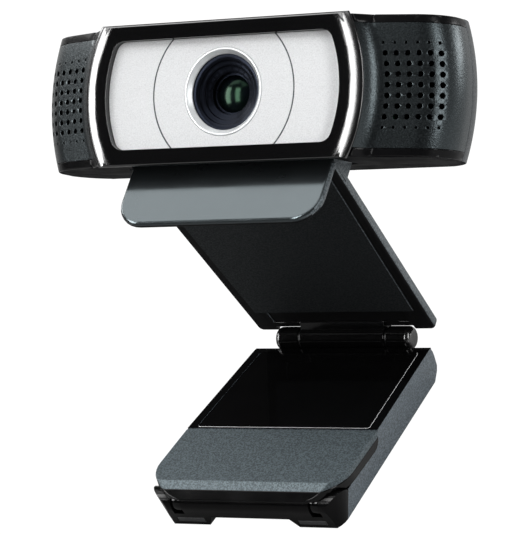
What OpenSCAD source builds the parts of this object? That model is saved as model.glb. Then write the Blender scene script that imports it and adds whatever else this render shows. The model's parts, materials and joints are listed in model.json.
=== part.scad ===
// Webcam on a folding monitor clip, millimetres.
// The clip stands on its lower arm: +Z is up, and the lens looks towards -Y and up.
// The origin is the mouth of the tripod socket in the underside of the lower arm.
// Left and right are those of someone who looks into the lens, so the right is at +X.
// Camera parts are drawn in the head's own frame: lens axis along Y, face plate front at y = 0.
// Upper arm parts are drawn in the arm's own frame: fold hinge on the X axis, the arm along -Y.

/* [Rest pose] */
// Angle between the two clip arms, in degrees
fold_angle = 64.4; // [55:0.5:75]
// Angle by which the head is bowed towards the upper arm, in degrees
tilt_angle = 30; // [15:1:34]

/* [Camera head] */
// Overall width of the head
head_w = 89.2; // [88:0.2:96]
// Height of the wings and of the rear cover
head_h = 26.2; // [26:0.2:30]
// Depth of the head behind the face plate
head_d = 24; // [23.5:0.5:28]
// Radius of the head's ends, seen from above
end_r = 8.6; // [7:0.1:9]
// Rounding of the rear edges
rear_edge_r = 4; // [2:0.5:6]
// Rounding of the front and end edges
front_edge_r = 0.8; // [0.5:0.1:1.2]
// Wall thickness of the housing
wall = 1.6; // [1.2:0.1:2]
// Depth at which the rear cover meets the front frame
parting_y = 14.2; // [14:0.1:15.5]

/* [Bezel and face plate] */
// Radius of the bezel's side arcs about the lens axis
bezel_r = 29.8; // [29:0.1:31]
// How far the bezel stands above and below the wings
bezel_step = 0.4; // [0.2:0.1:0.8]
// How far the bezel stands in front of the face plate
bezel_proud = 1.2; // [0.9:0.1:1.4]
// Depth over which the side rims roll back
rim_roll = 0.7; // [0.5:0.1:1]
// Width of the rolled rims
rim_w = 2.9; // [2:0.1:3.2]
// Rounding of the bezel's upper and lower edges
bezel_edge_r = 0.7; // [0.4:0.1:0.9]
// Radius of the face plate's side arcs
plate_r = 25; // [23:0.1:26]
// Height of the face plate
plate_h = 20.6; // [19:0.2:22]
// Corner radius of the face plate
plate_corner_r = 2.4; // [1:0.2:4]
// Thickness of the face plate
plate_t = 0.8; // [0.6:0.1:1]
// Radius of the engraved circle
engrave_r = 15.06; // [12:0.1:18]
// Width of the engraved line
engrave_w = 0.26; // [0.15:0.01:0.4]
// Depth of the engraved line
engrave_d = 0.15; // [0.1:0.05:0.3]

/* [Wings and grilles] */
// Sweep of the wings, in degrees
wing_slope = 19.9; // [18:0.1:22]
// Depth of the wing's surface below the edge of the bezel
recess_d = 1.75; // [1.4:0.05:2]
// Width of the hollow curve that leads up to the bezel
recess_w = 2.8; // [2:0.1:3]
// Thickness of a grille
grille_t = 1.3; // [1:0.1:1.6]
// Radius of the arc that the first column of holes lies on
first_col_r = 33.05; // [32.8:0.05:33.6]
// Columns of holes
hole_cols = 6; // [3:1:6]
// Rows of holes
hole_rows = 9; // [5:2:9]
// Column pitch
col_pitch = 1.92; // [1.7:0.02:2.1]
// Row pitch
row_pitch = 1.94; // [1.7:0.02:2.3]
// Diameter of a hole
hole_d = 1.06; // [0.8:0.02:1.3]
// Diameter of the holes in the first and last rows
small_hole_d = 0.55; // [0.4:0.05:0.8]
// Diameter of a microphone
mic_d = 4.4; // [4:0.1:4.6]
// Thickness of a microphone
mic_t = 2; // [1.5:0.1:2.5]
// Wall of a microphone's gasket
gasket_wall = 0.6; // [0.4:0.1:0.7]

/* [Lens] */
// Outer diameter of the bright ring
ring_d = 16.6; // [15.6:0.1:17.4]
// Inner diameter of the bright ring
opening_d = 14.3; // [13.4:0.1:14.6]
// Diameter of the moving lens barrel
barrel_d = 8.8; // [8.4:0.1:9.2]
// Length of the lens barrel
barrel_l = 7; // [6.4:0.1:7]
// Diameter of the front lens
front_lens_d = 7; // [6:0.1:7.4]
// Focus travel
focus_travel = 0.3; // [0.2:0.05:0.5]
// Width and height of the lens holder
holder_w = 12.4; // [12:0.1:12.6]

/* [Tilt hinge] */
// Tilt axis behind the face plate
tilt_back = 8.9; // [8.6:0.05:9.6]
// Tilt axis below the lens axis
tilt_drop = 10.3; // [10.1:0.05:10.5]
// Thickness of the hinge block, which is rounded about the tilt axis
block_t = 6.2; // [5.6:0.1:6.4]
// Radius of the tilt pin
tilt_pin_r = 1; // [0.8:0.1:1.2]

/* [Upper arm] */
// Length of the arm from the fold axis to the back of the lip
upper_l = 54.1; // [53.5:0.1:56]
// Thickness of the arm
upper_t = 2.2; // [1.8:0.1:2.6]
// Width of the arm at the lip
upper_w = 43.4; // [39:0.2:44]
// Width of the arm at the fold hinge
upper_end_w = 39.8; // [37:0.2:42]
// Height of the tilt axis above the arm's lower face
tilt_rise = 6.3; // [6:0.1:6.8]
// Drop of the lip below the arm's lower face
lip_drop = 12; // [9:0.5:14]
// Thickness of the lip
lip_t = 1.7; // [1.4:0.1:2.4]
// Corner radius of the lip
lip_corner_r = 5.5; // [3:0.5:6]
// Rim of the arm round the rubber pad
pad_rim = 2.1; // [1.6:0.1:3]
// Thickness of the rubber pad
pad_t = 0.8; // [0.6:0.1:1]
// Depth to which the rubber pad is let in
pad_inset = 0.6; // [0.4:0.1:0.8]

/* [Fold hinge] */
// Radius of the knuckles
knuckle_r = 2.4; // [2.2:0.1:2.6]
// Length of the hinge barrel
barrel_hinge_l = 30.4; // [29:0.2:33]
// Length of an end knuckle
end_knuckle_l = 5.2; // [4:0.2:7]
// Thickness of a friction washer
washer_t = 0.5; // [0.4:0.1:0.8]
// Radius of the fold pin
fold_pin_r = 1; // [0.8:0.1:1.2]
// Height of the fold axis above the lower arm's top
fold_rise = 0.7; // [0.6:0.1:1]
// Gap between the fold axis and the lower face of the upper arm
fold_gap = 1.5; // [1.4:0.1:1.8]

/* [Lower arm] */
// Thickness of the lower arm
arm_h = 10; // [9.6:0.1:11]
// Width of the top at the fold hinge
arm_w = 39.4; // [38:0.2:42]
// Width of the top at the nose
nose_w = 42.8; // [41:0.2:44]
// Taper of each side from top to bottom
draft = 2.9; // [2.5:0.1:4]
// Fold axis behind the tripod socket
fold_y = 19.6; // [19:0.2:22]
// Rear end of the top face in front of the fold axis
fold_setback = 3.6; // [3.2:0.1:4]
// Seam between the top panel and the foot, in front of the tripod socket
seam_y = 12.3; // [11.5:0.1:13]
// Front end of the foot, in front of the tripod socket
nose_y = 33; // [32.6:0.1:33]
// Width of the black rim beside the panel
rim = 1.8; // [1.4:0.1:2.4]
// Thickness of the panel
panel_t = 1.2; // [1:0.1:1.6]
// Thickness of the tray's floor and walls
tray_wall = 1.5; // [1.2:0.1:2]
// Corner radius of the nose
nose_corner_r = 5.5; // [4:0.5:6]
// Depth of the notch between the two front feet
notch_d = 2.3; // [1:0.1:2.6]
// Width of the notch between the two front feet
notch_w = 16.8; // [14:0.2:19]
// Minor radius of the tripod thread
socket_r = 2.6; // [2.5:0.05:2.7]
// Outer radius of the thread insert
insert_r = 4.5; // [4:0.1:5]
// Length of the thread insert
insert_l = 7.2; // [6:0.1:7.6]

/* [Swinging foot] */
// Thickness of the foot
foot_t = 3; // [2.6:0.1:3.2]
// Thickness of its rubber pad
foot_pad_t = 1.3; // [1:0.1:1.5]
// Corner radius of the foot
foot_corner_r = 8.5; // [5:0.5:10]
// Height of the slanted front of the foot
foot_bevel = 2.6; // [1.5:0.1:2.7]
// Margin between the side of the foot and that of the arm
foot_margin = 0.6; // [0.3:0.1:1]
// Foot pin behind the front end of the foot
foot_pin_back = 3.2; // [3.1:0.05:3.4]
// Foot pin above the underside
foot_pin_z = 5.2; // [5:0.05:5.4]
// Radius of the foot pin
foot_pin_r = 0.8; // [0.6:0.05:0.9]
// Radius of the nose bar about the foot pin
nose_bar_r = 2.5; // [2.3:0.05:2.5]

/* [Hidden] */

// Clearances: between parts of one body, between parts that turn, and of pins in their bores
fit = 0.05;
play = 0.2;
pin_fit = 0.05;
press_fit = 0.02;
eps = 0.01;
big = 200;
$fn = 48;
// Facets of the rounded solids that are blended by hulls
soft_fn = 32;

// Camera head
half_h = head_h / 2;
inner_h = half_h - wall;
end_x = head_w / 2 - end_r;
seam = [bezel_r + fit, rim_roll - bezel_proud];
recess_bend = 0.4;
turn_r = end_x + end_r * sin(wing_slope);
end_y = wing_depth(turn_r) + end_r * cos(wing_slope);
rear_y = max(end_y, parting_y);
rear_r = (pow(end_x, 2) + pow(rear_y - head_d, 2) - pow(end_r, 2)) / (2 * (head_d - rear_y - end_r));
turned_fn = 200;
rib_x = bezel_r - 2.6;
rib_t = 1.6;
board_t = 1.2;
boss_r = 2.2;
boss_gap = 1.3;
boss_x = rib_x + rib_t / 2 + boss_gap + boss_r;
boss_z = inner_h - boss_r - 1.3;
screw_r = 0.9;
screw_head_r = 1.8;
screw_head_t = 1.2;
plug_back = 2.4;
wing_in_x = bezel_r - 4;
mic_r = (seam[0] + recess_w + turn_r) / 2;
hood_step_y = 3;
barrel_y = hood_step_y + 0.4 + focus_travel + 0.3;
holder_y = 5.4;
slot_hx = upper_w / 2 + washer_t + 2 * fit;
slot_front = plug_back + fit;
slot_back = tilt_back + block_t / 2 + 0.45;
slot_roof = -6.9;
cheek_t = 6;
tilt_pin_l = 2 * (slot_hx + 3.4);
gland_z = -2;
gland_r = 3.6;
cord_r = 1.9;
gland_lip = 0.9;
gland_l = 3;
gland_play = 0.7;

// Upper arm
tilt_y = -upper_l - lip_t + block_t / 2;
tilt_z = fold_gap + tilt_rise;
end_gap = 0.6;
pad_back = 7.4;
end_corner_r = 1.2;

// Lower arm
screw_x = arm_w / 2 - draft - 2.5;
screw_inset = 6;
post_r = screw_head_r + 0.6;
head_seat = tray_wall + 1;
fold_z = arm_h + fold_rise;
top_back = fold_y - fold_setback;
foot_y = foot_pin_back - nose_y;
foot_w = nose_w - 2 * foot_margin;
foot_low = arm_h - foot_t;
foot_round = foot_t - play;
sink = 0.15;
heel_y = 2.5 - nose_y;
rear_reach = 1.6;
chin_l = sqrt(pow(foot_y - heel_y, 2) + pow(foot_pin_z, 2) - pow(nose_bar_r, 2));
chin_a = atan2(foot_pin_z, foot_y - heel_y) + atan2(nose_bar_r, chin_l);
notch_l = 6;
bumper_w = 6;
bumper_h = 1.3;
notch_flare = 1.3;
bumper_x = notch_w / 2 + notch_flare + 0.4;
bumper_z = 0.9;
bumper_t = 1.3;
bar_gap = 0.3;
centre_knuckle_l = barrel_hinge_l - 2 * end_knuckle_l - 2 * washer_t - 4 * fit;
lug_x = 14;
lug_t = 1.8;
lug_r = 2.2;

function arc(c, r, a0, a1, n) = [for (i = [0:n]) let (a = a0 + (a1 - a0) * i / n) c + r * [cos(a), sin(a)]];
function flip(points) = [for (i = [len(points) - 1:-1:0]) points[i]];

// Half width of the lower arm's top at a place along it
function top_half_w(y) = arm_w / 2 + (nose_w - arm_w) / 2 * (top_back - y) / (top_back + nose_y);

// Point of the chin at a distance up from the heel, as [y, z]
function chin(d) = [heel_y, 0] + d * [cos(chin_a), sin(chin_a)];

// Outline of a shape with arcs of radius r about the centre at its sides, flat top and bottom, and round corners
function lens_outline(r, h, corner) =
    let (cz = h / 2 - corner, cx = sqrt(pow(r - corner, 2) - cz * cz), a = atan2(cz, cx))
    concat(
        arc([0, 0], r, -a, a, 16), arc([cx, cz], corner, a, 90, 6),
        arc([-cx, cz], corner, 90, 180 - a, 6), arc([0, 0], r, 180 - a, 180 + a, 16),
        arc([-cx, -cz], corner, 180 + a, 270, 6), arc([cx, -cz], corner, 270, 360 - a, 6)
    );

// Depth of the straight part of the wings at a radius about the lens axis
function wing_depth(r) = seam[1] + recess_d + (r - seam[0]) * tan(wing_slope);

// Radius and depth on the hollow curve between bezel and wing, t from 0 to 1
function recess(t) = let (r = seam[0] + recess_w * recess_bend, e = seam[0] + recess_w)
    (1 - t) * (1 - t) * seam + 2 * t * (1 - t) * [r, wing_depth(r)] + t * t * [e, wing_depth(e)];
function recess_slope(t) = let (d = recess(t + 0.001) - recess(t - 0.001)) atan2(d[1], d[0]);

// Front of the wings as [radius, depth], set in by o
function wing_outline(o) = concat(
    [[seam[0] - o * tan(recess_slope(0) / 2), seam[1] + o]],
    [for (i = [o > 0 ? 3 : 1 : 8]) let (t = i / 8, a = recess_slope(t)) recess(t) + o * [-sin(a), cos(a)]],
    arc([end_x, end_y], end_r - o, wing_slope - 90, 0, 12),
    [[head_w / 2 - o, parting_y]]
);

// Place of a column of holes: radius, depth and slope; the columns follow the surface round the end
function hole_place(c) = let (
        r = first_col_r + c * col_pitch,
        a = max(0, r - turn_r) / cos(wing_slope) / end_r * 180 / PI + wing_slope
    )
    r < turn_r ? [r, wing_depth(r), wing_slope] : [end_x + end_r * sin(a), end_y - end_r * cos(a), a];

module on_upper_arm() translate([0, fold_y, fold_z]) rotate([-fold_angle, 0, 0]) children();
module on_head()
    on_upper_arm() translate([0, tilt_y, tilt_z]) rotate([tilt_angle, 0, 0])
        translate([0, -tilt_back, tilt_drop]) children();
module both_sides() for (s = [0, 1]) mirror([s, 0, 0]) children();

// Cylinders along X and Y
module rod_x(r, l) rotate([0, 90, 0]) cylinder(r = r, h = l, center = true);
module rod_y(r, y0, y1) translate([0, y1, 0]) rotate([90, 0, 0]) cylinder(r = r, h = y1 - y0);
module ring_x(r_out, r_in, l) difference() {
    rod_x(r_out, l);
    rod_x(r_in, l + 1);
}
// Solid of revolution about the lens axis, drawn as [radius, -y]
module turned() rotate([90, 0, 0]) rotate_extrude() children();
// Profile drawn as [y, z] and pushed out along X by l
module along_x(l) rotate([90, 0, 90]) translate([0, 0, -l / 2]) linear_extrude(l) children();
// Outline drawn as [x, z] and pushed out along Y
module along_y(y0, y1) translate([0, y1, 0]) rotate([90, 0, 0]) linear_extrude(y1 - y0) children();
// Upright disc of radius r and height h with edges rounded by e
module pill(r, h, e) rotate_extrude($fn = soft_fn) intersection() {
    translate([0, -h / 2]) square([r, h]);
    union() {
        translate([0, e - h / 2]) square([r, h - 2 * e]);
        translate([0, -h / 2]) square([r - e, h]);
        for (s = [-1, 1]) translate([r - e, s * (h / 2 - e)]) circle(e, $fn = 20);
    }
}

// ---- Camera head ----

module end_pills(o) for (s = [-1, 1])
    translate([s * end_x, rear_y, 0]) pill(end_r - o, head_h - 2 * o, front_edge_r);

module rear_blank(o) intersection() {
    hull() {
        end_pills(o);
        for (i = [-4:4]) let (a = asin(end_x / (rear_r - end_r)) * i / 4, d = rear_r - rear_edge_r)
            translate([d * sin(a), head_d - rear_r + d * cos(a), 0])
                pill(rear_edge_r - o, head_h - 2 * o, rear_edge_r - o);
    }
    turned($fn = turned_fn) polygon(concat(
        [[0, 0], [head_w / 2 - o, 0]],
        arc([end_x, -rear_y], end_r - o, 0, -90, 12),
        [[0, -2 * head_d]]
    ));
}

// Turned solid behind the front of the wings, set in by o
module turned_front(o) turned($fn = turned_fn) polygon(concat(
    [[0, -parting_y], [0, -seam[1] - o]],
    [for (p = wing_outline(o)) [p[0], -p[1]]]
));

// Rounds the upper and lower edges where the flat sides cut the turned front
module edge_pill(p, d) translate([sqrt(pow(p[0], 2) - pow(inner_h, 2)), p[1], 0]) translate(d)
    pill(front_edge_r, head_h, front_edge_r);

module front_blank() intersection() {
    turned_front(0);
    union() {
        both_sides() hull() {
            for (i = [0:6]) let (a = (wing_slope - 90) * i / 6)
                edge_pill([end_x, end_y] + end_r * [cos(a), sin(a)], -front_edge_r * [cos(a), sin(a), 0]);
            edge_pill(recess(1), front_edge_r * [-sin(wing_slope), cos(wing_slope), 0]);
            edge_pill([head_w / 2, parting_y], [-front_edge_r, 0, 0]);
            edge_pill([seam[0] + recess_w, parting_y], [0, 0, 0]);
        }
        hull() both_sides() {
            edge_pill(seam, front_edge_r * [-1, 1, 0]);
            edge_pill(recess(1), front_edge_r * [-1, 1, 0]);
            edge_pill([seam[0] + recess_w, parting_y], [0, 0, 0]);
        }
    }
}

module slot() translate([-slot_hx, slot_front, -half_h - 1])
    cube([2 * slot_hx, slot_back - slot_front, slot_roof + half_h + 1]);

module front_frame() color("#111214") on_head() difference() {
    union() {
        intersection() {
            front_blank();
            union() for (s = [-1, 1])
                translate([-big / 2, 0, s * (half_h + inner_h) / 2 - wall / 2]) cube([big, parting_y, wall]);
        }
        both_sides() {
            translate([rib_x - rib_t / 2, plug_back + fit, -inner_h])
                cube([rib_t, parting_y - plug_back - fit, 2 * inner_h]);
            translate([slot_hx, tilt_back - 4, -inner_h])
                cube([rib_x - slot_hx, parting_y - tilt_back + 4, inner_h + slot_roof]);
            for (s = [-1, 1]) translate([boss_x, 0, s * boss_z]) {
                rod_y(boss_r, parting_y - 3, parting_y);
                translate([-boss_x + rib_x, parting_y - 3, -1]) cube([boss_x - rib_x, 3, 2]);
                translate([-boss_r, parting_y - 3, s > 0 ? 0 : boss_z - inner_h])
                    cube([2 * boss_r, 3, inner_h - boss_z]);
            }
        }
    }
    slot();
    translate([0, tilt_back, -tilt_drop]) rod_x(tilt_pin_r + press_fit, tilt_pin_l + 2 * fit);
    both_sides() for (s = [-1, 1]) translate([boss_x, 0, s * boss_z])
        rod_y(screw_r + pin_fit, parting_y - 4, parting_y + 1);
}

module rear_cover() color("#1b1c1f") on_head() difference() {
    union() {
        difference() {
            rear_blank(0);
            rear_blank(wall);
        }
        intersection() {
            rear_blank(wall / 2);
            both_sides() for (s = [-1, 1]) translate([boss_x, 0, s * boss_z]) rod_y(boss_r, parting_y, head_d);
        }
    }
    translate([-big / 2, -big + parting_y, -big / 2]) cube([big, big, big]);
    both_sides() for (s = [-1, 1]) translate([boss_x, 0, s * boss_z])
        rod_y(screw_r + press_fit, parting_y - 1, parting_y + 3.4);
    translate([0, 0, gland_z]) rod_y(gland_r + press_fit, parting_y, big / 2);
}

module bezel() color("#0a0a0b") on_head() difference() {
    union() {
        intersection() {
            turned() bezel_profile();
            along_x(big) bezel_side_profile();
        }
        along_y(seam[1] - eps, plug_back) polygon(lens_outline(bezel_r - 1.2, 2 * (inner_h - fit), 1.5));
    }
    along_y(-bezel_proud - 1, plate_t) polygon(lens_outline(plate_r + fit, plate_h + 2 * fit, plate_corner_r + fit));
    rod_y(ring_d / 2 + fit, -1, plug_back + 1);
}

// Half section of the bezel with its side rim rolled back, as [radius, -y]
module bezel_profile() polygon(concat(
    [[0, -seam[1]], [0, bezel_proud]],
    [for (i = [0:12]) let (a = 90 * i / 12)
        [bezel_r - rim_w * (1 - sin(a)), bezel_proud - rim_roll * (1 - cos(a))]]
));

// Side section of the bezel with rounded upper and lower front edges, as [y, z]
module bezel_side_profile() {
    h = half_h + bezel_step;
    r = bezel_edge_r;
    union() {
        translate([r - bezel_proud, -h]) square([bezel_proud, 2 * h]);
        translate([-bezel_proud, -h + r]) square([bezel_proud, 2 * (h - r)]);
        for (s = [-1, 1]) translate([r - bezel_proud, s * (h - r)]) circle(r);
    }
}

module face_plate() color("#d9dadb") on_head() difference() {
    along_y(0, plate_t) polygon(lens_outline(plate_r, plate_h, plate_corner_r));
    rod_y(ring_d / 2 + fit, -1, plate_t + 1);
    difference() {
        rod_y(engrave_r + engrave_w / 2, -1, engrave_d);
        rod_y(engrave_r - engrave_w / 2, -2, engrave_d + 1);
    }
}

module lens_ring() color("#c4c6c9") on_head() turned() polygon([
    [opening_d / 2, -1.1], [ring_d / 2, -1.1], [ring_d / 2, 0], [ring_d / 2 - 0.35, 0.1],
    [opening_d / 2 + 0.15, -0.6], [opening_d / 2, -0.75],
]);

module lens_hood() color("#0b0b0c") on_head() turned() polygon([
    [ring_d / 2, -1.1 - fit], [opening_d / 2 - 0.2, -1.1 - fit], [opening_d / 2 - 1.1, -1.5],
    [opening_d / 2 - 1.1, -1.9], [opening_d / 2 - 2, -2.2], [opening_d / 2 - 2, -2.6],
    [front_lens_d / 2 + 0.5, -hood_step_y], [front_lens_d / 2 + 0.5, -hood_step_y - 0.4],
    [holder_w / 2 - 0.2, -hood_step_y - 0.4], [holder_w / 2 - 0.2, -hood_step_y],
    [ring_d / 2, -plug_back],
]);

// A wing's solid between the two strips of the front frame, set in by o
module wing_solid(o) intersection() {
    turned_front(o);
    translate([wing_in_x, -1, -inner_h + fit]) cube([big, parting_y + 1 - fit, 2 * (inner_h - fit)]);
}

module holes() for (c = [0:hole_cols - 1], r = [-(hole_rows - 1) / 2:(hole_rows - 1) / 2]) {
    place = hole_place(c);
    z = r * row_pitch;
    d = abs(r) == (hole_rows - 1) / 2 ? small_hole_d : hole_d;
    translate([sqrt(pow(place[0], 2) - z * z), place[1], z]) rotate([90, 0, place[2]])
        cylinder(d = d, h = 4 * grille_t, center = true, $fn = 16);
}

module right_grille() color("#2a2c30") on_head() difference() {
    wing_solid(0);
    wing_solid(grille_t);
    rod_y(bezel_r + fit, -1, plug_back + fit);
    translate([0, parting_y - 4, -big / 2]) cube([end_x + 2, big, big]);
    holes();
}
module left_grille() mirror([1, 0, 0]) right_grille();

// Carries a microphone part to its seat behind the holes, z along the way in
module mic_seat() on_head()
    translate([mic_r, wing_depth(mic_r), 0]) rotate([-90, 0, wing_slope]) translate([0, 0, grille_t]) children();

module right_microphone() color("#b9a36a") mic_seat() translate([0, 0, gasket_wall])
    cylinder(d = mic_d, h = mic_t);
module left_microphone() mirror([1, 0, 0]) right_microphone();

module mic_gaskets() both_sides() color("#161616") mic_seat() difference() {
    translate([0, 0, 2 * fit]) cylinder(d = mic_d + 2 * gasket_wall, h = mic_t);
    translate([0, 0, gasket_wall]) cylinder(d = mic_d + 2 * press_fit, h = mic_t + 1);
    cylinder(d = mic_d - 2 * gasket_wall, h = 2 * gasket_wall);
}

module lens_holder() color("#1d1d1f") on_head() difference() {
    translate([-holder_w / 2, holder_y, -holder_w / 2])
        cube([holder_w, parting_y - holder_y, holder_w]);
    rod_y(barrel_d / 2 + pin_fit, holder_y - 1, parting_y - 2.8);
    rod_y(2.8, holder_y, parting_y);
    rod_y(barrel_d / 2 + 1.1, holder_y + 1.2, holder_y + 4.8);
    translate([-3.6, parting_y - 2.4, -3.6]) cube([7.2, 3, 7.2]);
}

module lens_barrel() color("#0d0d0e") on_head() difference() {
    rod_y(barrel_d / 2, barrel_y, barrel_y + barrel_l);
    rod_y(front_lens_d / 2 + fit, barrel_y - 1, barrel_y + 1.4);
    rod_y(2.4, barrel_y, barrel_y + barrel_l + 1);
    rod_y(3 + fit, barrel_y + barrel_l - 1.6, barrel_y + barrel_l + 1);
}

module front_lens() color("#23302c") on_head() intersection() {
    rod_y(front_lens_d / 2, barrel_y - 1, barrel_y + 1.4 - fit);
    translate([0, barrel_y - 0.3 + 7, 0]) sphere(7, $fn = 96);
}

module rear_lens() color("#23302c") on_head() intersection() {
    rod_y(3, barrel_y + barrel_l - 1.6 + fit, barrel_y + barrel_l);
    translate([0, barrel_y + barrel_l - 6.2, 0]) sphere(6.1, $fn = 96);
}

module focus_coil() color("#a8622c") on_head() difference() {
    rod_y(barrel_d / 2 + 0.8, holder_y + 1.7, holder_y + 4.4);
    rod_y(barrel_d / 2 + press_fit, holder_y, holder_y + 6);
}

module infrared_filter() color("#7a3b46") on_head()
    translate([-3.5, parting_y - 2.4 + fit, -3.5]) cube([7, 0.3, 7]);

module image_sensor() color("#3c4c3c") on_head()
    translate([-3.4, parting_y - 1.1, -3]) cube([6.8, 1.1, 6]);

module main_board() color("#1f5a34") on_head()
    translate([-rib_x - rib_t / 2, parting_y, -inner_h + 1.2])
        cube([2 * rib_x + rib_t, board_t, 2 * inner_h - 2.4]);

module board_chips() color("#222222") on_head() translate([0, parting_y + board_t, 0]) {
    chip_t = 1;
    resistor = [1.6, 0.8, 1];
    translate([-17, 0, -4]) cube([9, chip_t, 9]);
    translate([8, 0, 1]) cube([7, chip_t, 5]);
    for (i = [0:3]) translate([9 + (resistor[0] + 1) * i, 0, -5]) cube(resistor);
}

module cable_socket() color("#e6e2d2") on_head()
    translate([-4, parting_y + board_t, -10]) cube([8, 2.4, 3.4]);

module housing_screws() color("#9a9da1") on_head() both_sides() for (s = [-1, 1])
    translate([boss_x, 0, s * boss_z]) {
        rod_y(screw_r, parting_y - 3, parting_y + 3.2);
        difference() {
            rod_y(screw_head_r, parting_y - 3 - screw_head_t, parting_y - 3);
            translate([0, parting_y - 3 - screw_head_t, 0]) for (a = [0, 90]) rotate([0, a, 0])
                cube([1.5 * screw_head_r, screw_head_t, screw_head_r / 3], center = true);
        }
    }

module cable_gland() color("#141414") on_head() translate([0, 0, gland_z]) turned() {
    inner = -head_d + wall + gland_play;
    outer = -head_d - press_fit;
    polygon([
        [cord_r, inner + gland_lip], [gland_r + gland_lip, inner + gland_lip], [gland_r + gland_lip, inner],
        [gland_r, inner], [gland_r, outer], [gland_r + gland_lip, outer], [gland_r + gland_lip, outer - gland_lip / 2],
        [gland_r + 0.2, outer - gland_lip], [cord_r + 0.6, outer - gland_l], [cord_r, outer - gland_l],
    ]);
}

module tilt_pin() color("#8d9094") on_head()
    translate([0, tilt_back, -tilt_drop]) rod_x(tilt_pin_r, tilt_pin_l);

module tilt_washers() color("#a7a9ac") on_head() translate([0, tilt_back, -tilt_drop]) both_sides()
    translate([upper_w / 2 + fit + washer_t / 2, 0, 0])
        ring_x(block_t / 2 - 0.2, tilt_pin_r + pin_fit, washer_t);

// ---- Upper arm ----

module upper_outline(side, back) {
    w0 = upper_w / 2 - side;
    w1 = upper_end_w / 2 - side;
    polygon([[-w0, -upper_l + side], [w0, -upper_l + side], [w1, -back], [-w1, -back]]);
}

module upper_arm() color("#26282b") on_upper_arm() difference() {
    union() {
        // plate, blended from four rounded corners
        hull() both_sides() {
            translate([upper_w / 2 - 1, 1 - upper_l - lip_t, fold_gap + upper_t / 2]) pill(1, upper_t, 0.6);
            translate([upper_end_w / 2 - end_corner_r, -end_gap - end_corner_r, fold_gap + upper_t / 2])
                pill(end_corner_r, upper_t, 0.6);
        }
        // lip
        hull() both_sides() {
            translate([upper_w / 2 - lip_corner_r, -upper_l - lip_t / 2, fold_gap - lip_drop + lip_corner_r])
                rotate([90, 0, 0]) pill(lip_corner_r, lip_t, 0.7);
            translate([upper_w / 2 - 1, -upper_l - lip_t / 2, fold_gap + upper_t - 1])
                rotate([90, 0, 0]) pill(1, lip_t, 0.7);
        }
        // hinge block, rounded about the tilt axis
        translate([0, tilt_y, tilt_z]) along_x(upper_w) {
            circle(block_t / 2);
            translate([-block_t / 2, -tilt_rise + 0.7]) square([block_t, tilt_rise - 0.7]);
        }
        // centre knuckle
        rod_x(knuckle_r, centre_knuckle_l);
        along_x(centre_knuckle_l) polygon([
            [-fold_setback, fold_gap], [-1, -0.4], [0.6, 2.2], [-1.2, fold_gap + upper_t], [-fold_setback, fold_gap + upper_t],
        ]);
    }
    rod_x(fold_pin_r + pin_fit, centre_knuckle_l + 1);
    translate([0, tilt_y, tilt_z]) rod_x(tilt_pin_r + pin_fit, upper_w + 1);
    both_sides() translate([centre_knuckle_l / 2, 0, 0]) rotate([0, 90, 0])
        cylinder(r = knuckle_r + play, h = (barrel_hinge_l - centre_knuckle_l) / 2 + play);
    translate([0, 0, fold_gap - eps]) linear_extrude(pad_inset + eps) upper_outline(pad_rim, pad_back);
    // shallow pocket round the centre knuckle
    translate([-barrel_hinge_l / 2, -pad_back, fold_gap - eps]) cube([barrel_hinge_l, pad_back - fold_setback, pad_inset / 2]);
}

module upper_pad() color("#17181a") on_upper_arm()
    translate([0, 0, fold_gap + pad_inset - pad_t]) linear_extrude(pad_t) upper_outline(pad_rim + fit, pad_back + fit);

// ---- Lower arm ----

module tray_slab(z, inset, y0, y1, corner) for (s = [-1, 1]) {
    translate([s * (top_half_w(y0) - inset - corner), y0 + corner, z]) cylinder(r = corner, h = eps, $fn = soft_fn);
    translate([s * (top_half_w(y1) - inset - 1), y1 - 1, z]) cylinder(r = 1, h = eps, $fn = soft_fn);
}

// Tapered block between two outlines, set in by o from the arm's outer sides
module tray_block(o, y0, y1, z0, z1, corner) hull() {
    tray_slab(z1 - eps, o + draft * (arm_h - z1) / arm_h, y0, y1, corner);
    tray_slab(z0, o + draft * (arm_h - z0) / arm_h, y0, y1, corner);
}

// Side section of the lower arm, as [y, z]
module arm_side_profile() {
    difference() {
        polygon(concat(
            [[-nose_y, 0], [fold_y + 0.7, 0], [fold_y + rear_reach, 2], [fold_y + rear_reach - 0.1, 3.4]],
            [[fold_y - 0.35, fold_z - knuckle_r - 1.5]],
            arc([fold_y, fold_z], knuckle_r + play, 233, 197, 6),
            [[top_back, arm_h], [-nose_y, arm_h]]
        ));
        // room for the foot and its round rear end
        difference() {
            translate([-nose_y - 1, foot_low - sink]) square([nose_y + 1 - seam_y - 0.1, foot_t + 1]);
            translate([-seam_y - 0.1 - foot_t, foot_low - sink]) difference() {
                square([foot_t + 1, foot_t]);
                translate([0, foot_t]) circle(foot_t);
            }
        }
        // the chin slants from the underside's front edge up to the nose bar
        polygon([chin(0), chin(chin_l), chin(3 * arm_h), chin(3 * arm_h) - [arm_h, 0], [-nose_y - arm_h, -1], [heel_y, -1]]);
        translate([-nose_y - arm_h, foot_pin_z - 1]) square([arm_h + foot_pin_back, arm_h]);
    }
    translate([foot_y, foot_pin_z]) circle(nose_bar_r);
}

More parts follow.
